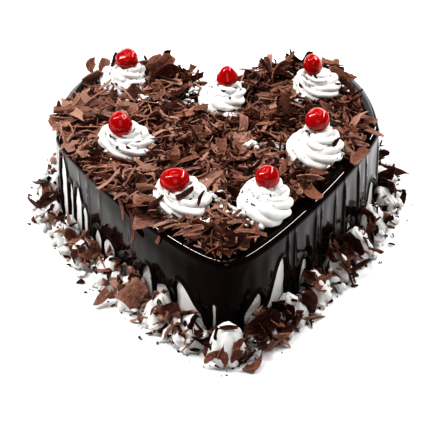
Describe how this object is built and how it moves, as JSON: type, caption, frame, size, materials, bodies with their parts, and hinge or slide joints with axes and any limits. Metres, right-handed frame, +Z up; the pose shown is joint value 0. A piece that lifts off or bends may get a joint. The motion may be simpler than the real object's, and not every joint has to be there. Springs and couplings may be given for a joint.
{
  "type": "heart shaped cake",
  "caption": "Heart shaped layer cake with dripping chocolate glaze, chocolate flakes, piped cream swirls topped with cherries and a piped cream border.",
  "frame": {"origin": "on the flat base, on the heart's line of symmetry, level with the widest place of the lobes", "axes": "+Z up out of the top, -Y towards the tip of the heart, +X to the right seen from the tip"},
  "size_m": [0.2644, 0.2757, 0.1067],
  "materials": {
    "cream": "soft satin whipped cream",
    "glaze": "wet gloss, nearly black",
    "cherry": "wet gloss, slightly translucent",
    "chocolate": "dull shaved chocolate with a faint sheen"
  },
  "bodies": {
    "root": {"cake_body": "cream", "cherry_1": "cherry", "cherry_2": "cherry", "cherry_3": "cherry", "cherry_4": "cherry", "cherry_5": "cherry", "cherry_6": "cherry", "cherry_7": "cherry", "chocolate_flakes": "chocolate", "chocolate_glaze": "glaze", "cream_border_01": "cream", "cream_border_02": "cream", "cream_border_03": "cream", "cream_border_04": "cream", "cream_border_05": "cream", "cream_border_06": "cream", "cream_border_07": "cream", "cream_border_08": "cream", "cream_border_09": "cream", "cream_border_10": "cream", "cream_border_11": "cream", "cream_border_12": "cream", "cream_border_13": "cream", "cream_border_14": "cream", "cream_border_15": "cream", "cream_border_16": "cream", "cream_border_17": "cream", "cream_border_18": "cream", "cream_border_19": "cream", "cream_border_20": "cream", "cream_border_21": "cream", "cream_border_22": "cream", "cream_border_23": "cream", "cream_border_24": "cream", "cream_border_25": "cream", "cream_border_26": "cream", "cream_border_27": "cream", "cream_border_28": "cream", "cream_swirl_1": "cream", "cream_swirl_2": "cream", "cream_swirl_3": "cream", "cream_swirl_4": "cream", "cream_swirl_5": "cream", "cream_swirl_6": "cream", "cream_swirl_7": "cream"}
  },
  "joints": []
}
